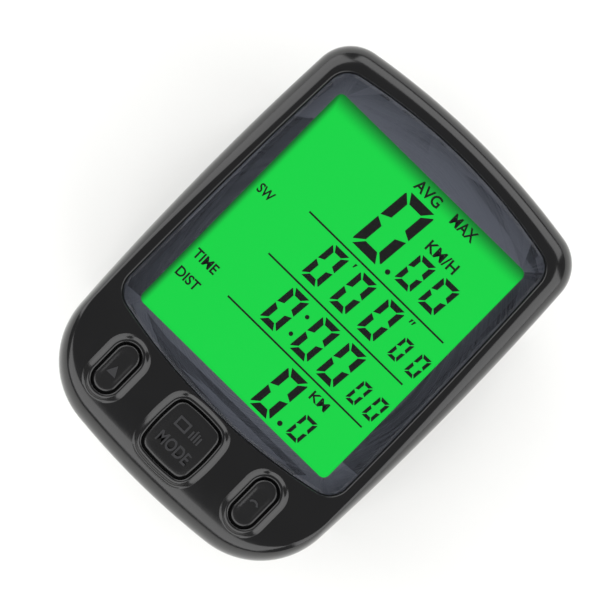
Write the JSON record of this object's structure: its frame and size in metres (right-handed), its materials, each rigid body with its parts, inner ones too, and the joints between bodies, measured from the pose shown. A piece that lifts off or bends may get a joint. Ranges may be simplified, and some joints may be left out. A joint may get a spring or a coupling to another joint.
{
  "type": "cycling computer",
  "caption": "Wired handlebar cycling computer: rounded display head with a backlit LCD, side keys and a mode key, sliding onto a strap-down saddle bracket.",
  "frame": {"origin": "on the plane that the bracket's saddle feet stand on, under the middle of the head", "axes": "+Z out of the display, +Y to the top of the display, +X to the display's right; the handlebar runs along X"},
  "size_m": [0.0442, 0.062, 0.0334],
  "materials": {
    "case_gloss": "high gloss black moulded ABS",
    "case_satin": "fine spark-eroded texture, black ABS",
    "key_black": "satin black ABS",
    "window_clear": "polished clear acrylic",
    "mask_grey": "slate grey printed film",
    "lcd_green": "backlit green liquid crystal display",
    "frame_white": "white moulded plastic",
    "zebra_rubber": "layered conductive silicone",
    "light_guide": "clear moulded acrylic",
    "diffuser": "milky film",
    "led_body": "white package",
    "board_green": "solder mask on glass epoxy",
    "chip_epoxy": "black potting epoxy",
    "crystal_can": "drawn metal can",
    "component_body": "fired ceramic chip",
    "dome_steel": "pressed spring steel",
    "battery_steel": "nickel-plated steel",
    "contact_nickel": "nickel-plated spring strip",
    "contact_gold": "gold-plated brass",
    "seal_rubber": "black rubber",
    "boot_silicone": "grey silicone",
    "bracket_black": "fine textured black nylon",
    "pad_rubber": "black rubber",
    "spring_steel": "spring steel strip",
    "screw_steel": "zinc-plated steel"
  },
  "bodies": {
    "bracket": {"bracket_base": "bracket_black", "slide_rails": "bracket_black", "end_stops": "bracket_black", "bracket_pad": "pad_rubber", "bracket_contacts": "contact_gold", "lever_spring": "spring_steel"},
    "head": {"front_case": "case_gloss", "rear_case": "case_satin", "case_seal": "seal_rubber", "case_screws": "screw_steel", "window_lens": "window_clear", "window_mask": "mask_grey", "lcd_panel": "lcd_green", "lcd_frame": "frame_white", "zebra_strips": "zebra_rubber", "backlight_guide": "light_guide", "diffuser_sheet": "diffuser", "backlight_leds": "led_body", "main_board": "board_green", "driver_chip": "chip_epoxy", "quartz_crystal": "crystal_can", "board_components": "component_body", "dome_switches": "dome_steel", "battery": "battery_steel", "battery_contact_positive": "contact_nickel", "battery_contact_negative": "contact_nickel", "head_contacts": "contact_gold", "mode_key_boot": "boot_silicone", "left_key_boot": "boot_silicone", "right_key_boot": "boot_silicone"},
    "battery_cover": {"battery_cover": "case_satin", "cover_seal": "seal_rubber"},
    "mode_key": {"mode_key": "key_black"},
    "left_key": {"left_key": "key_black"},
    "right_key": {"right_key": "key_black"},
    "release_lever": {"release_lever": "bracket_black"}
  },
  "joints": [
    {"name": "head_slide", "type": "slide", "parent": "bracket", "child": "head", "axis": [0, 1, 0], "range_m": [0, 0.0325]},
    {"name": "battery_cover_turn", "type": "hinge", "parent": "head", "child": "battery_cover", "pos_m": [0, 0.0026, 0.01579], "axis": [0, 0, -1], "range_deg": [0, 60]},
    {"name": "mode_key_press", "type": "slide", "parent": "head", "child": "mode_key", "axis": [0, 0, -1], "range_m": [0, 0.0006], "stiffness_N_per_m": 600, "springref_m": -0.0004, "deforming": ["mode_key_boot"]},
    {"name": "left_key_press", "type": "slide", "parent": "head", "child": "left_key", "axis": [0, 0, -1], "range_m": [0, 0.0006], "stiffness_N_per_m": 600, "springref_m": -0.0004, "deforming": ["left_key_boot"]},
    {"name": "right_key_press", "type": "slide", "parent": "head", "child": "right_key", "axis": [0, 0, -1], "range_m": [0, 0.0006], "stiffness_N_per_m": 600, "springref_m": -0.0004, "deforming": ["right_key_boot"]},
    {"name": "release_lever_press", "type": "hinge", "parent": "bracket", "child": "release_lever", "pos_m": [0, -0.006, 0.01434], "axis": [1, 0, 0], "range_deg": [0, 3], "stiffness_Nm_per_rad": 0.6, "springref_deg": -3.44, "deforming": ["lever_spring"]}
  ]
}
